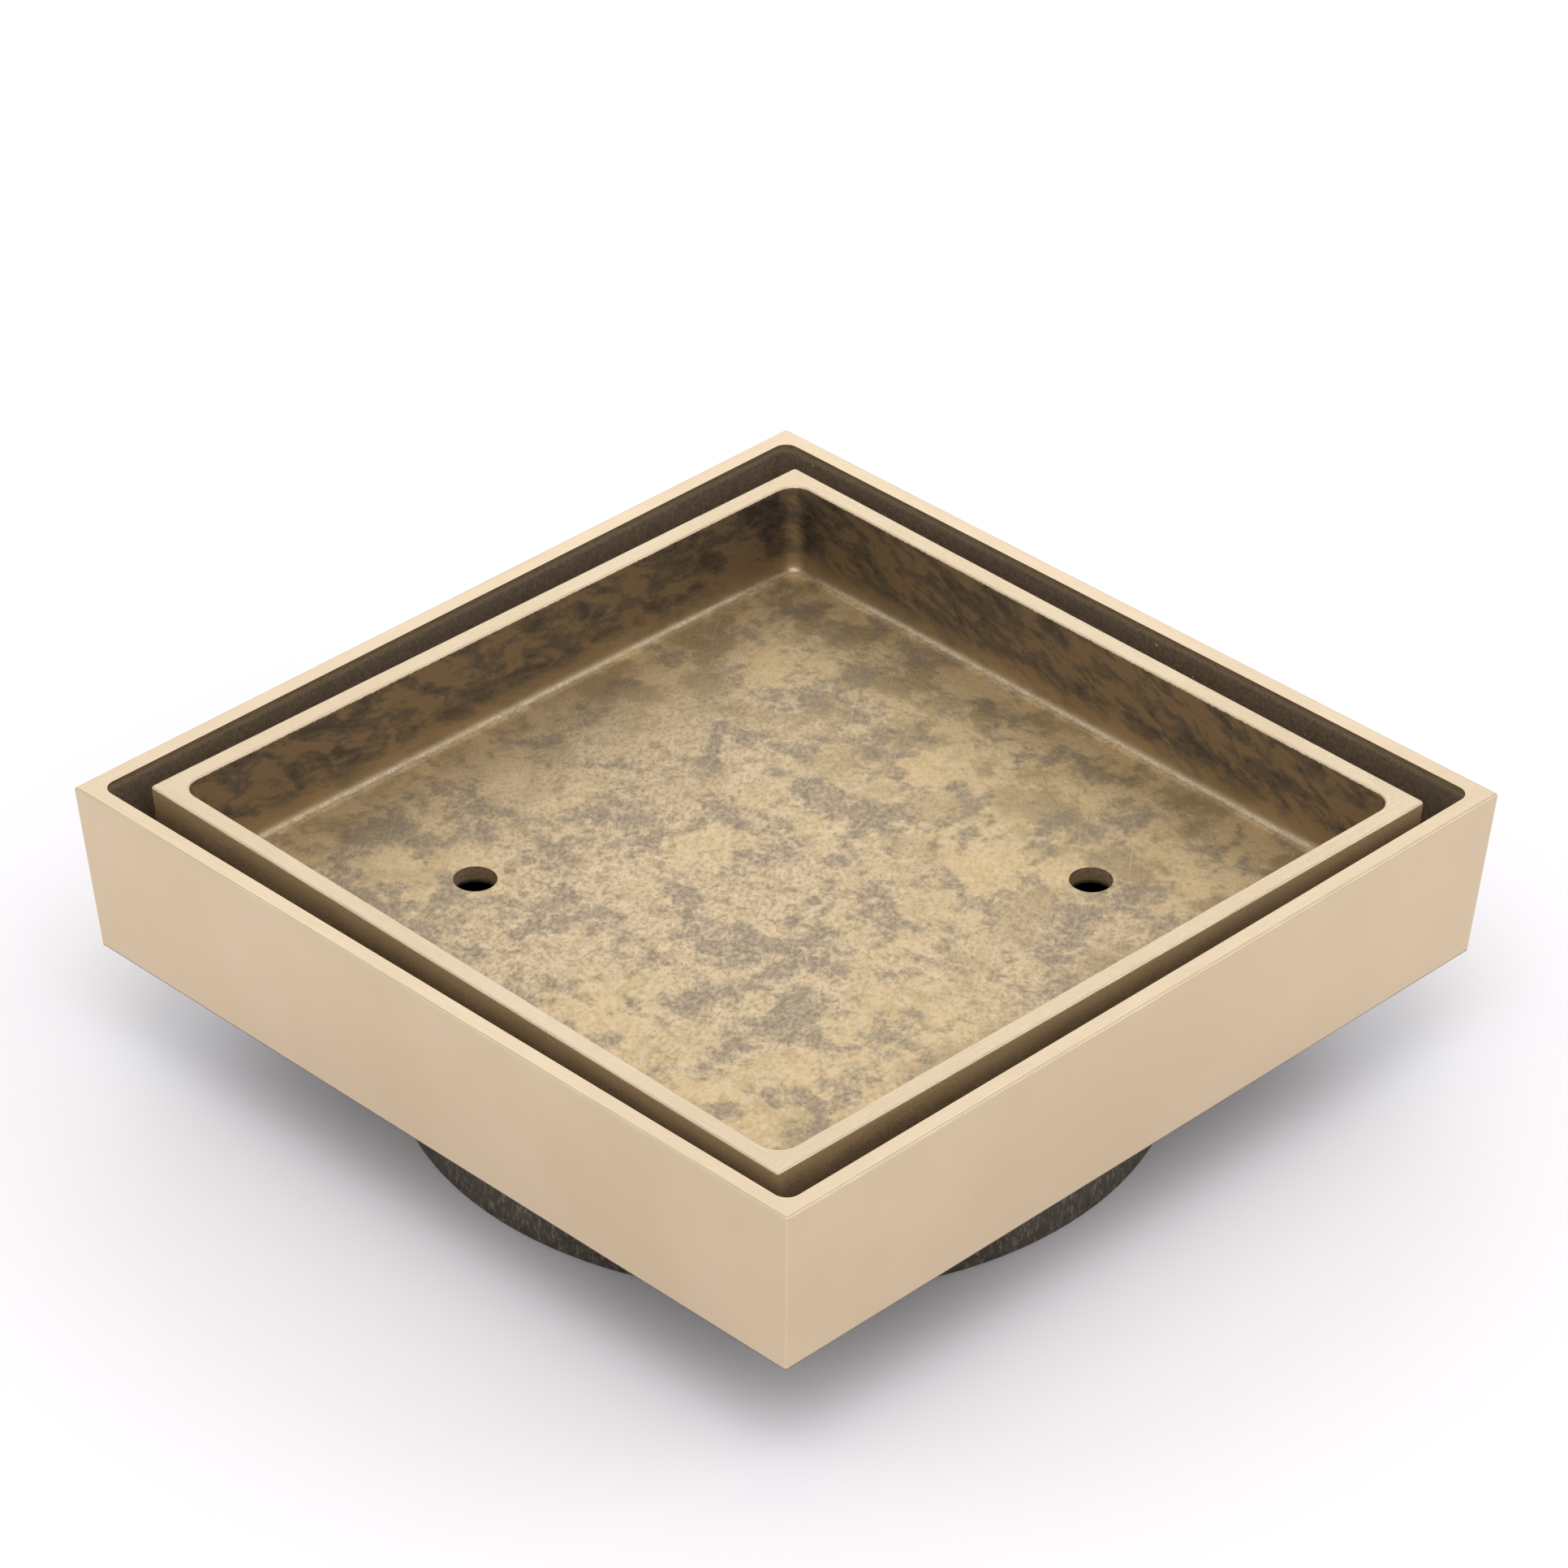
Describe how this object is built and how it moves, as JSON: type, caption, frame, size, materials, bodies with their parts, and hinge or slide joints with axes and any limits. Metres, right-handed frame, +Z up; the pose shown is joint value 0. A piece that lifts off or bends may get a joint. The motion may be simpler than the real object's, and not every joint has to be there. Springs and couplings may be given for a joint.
{
  "type": "tile insert floor drain",
  "caption": "Square floor drain with a loose tile tray, a perimeter slot, a drop-in trap core with a sprung valve, and a round outlet spigot.",
  "frame": {"origin": "centre of the outlet spigot's bottom rim", "axes": "+Z up out of the floor, X and Y along the sides of the square frame"},
  "size_m": [0.13, 0.13, 0.0423],
  "materials": {
    "cast_brass": "brushed outside, patinated inside",
    "turned_brass": "satin",
    "stainless_steel": "brushed",
    "grey_plastic": "fine matt",
    "black_rubber": "matt",
    "silicone": "matt, translucent"
  },
  "bodies": {
    "drain": {"drain_body": "cast_brass"},
    "trap_core": {"trap_housing": "grey_plastic", "stem_bush": "turned_brass", "flange_gasket": "black_rubber", "tube_seal": "black_rubber", "valve_spring": "stainless_steel"},
    "valve": {"valve_plate": "grey_plastic", "valve_gasket": "silicone", "valve_stem": "stainless_steel", "stem_cap": "grey_plastic"},
    "strainer_unit": {"strainer": "stainless_steel", "strainer_knob": "turned_brass", "knob_nut": "turned_brass"},
    "tray": {"tile_tray": "cast_brass", "foot_pad_front_left": "black_rubber", "foot_pad_front_right": "black_rubber", "foot_pad_back_right": "black_rubber", "foot_pad_back_left": "black_rubber"}
  },
  "joints": [
    {"name": "core_lift", "type": "slide", "parent": "drain", "child": "trap_core", "axis": [0, 0, 1], "range_m": [0, 0.05]},
    {"name": "strainer_lift", "type": "slide", "parent": "trap_core", "child": "strainer_unit", "axis": [0, 0, 1], "range_m": [0, 0.03]},
    {"name": "tray_lift", "type": "slide", "parent": "strainer_unit", "child": "tray", "axis": [0, 0, 1], "range_m": [0, 0.035]},
    {"name": "valve_travel", "type": "slide", "parent": "trap_core", "child": "valve", "axis": [0, 0, -1], "range_m": [0, 0.004], "stiffness_N_per_m": 50, "springref_m": -0.01, "deforming": ["valve_spring"]}
  ]
}
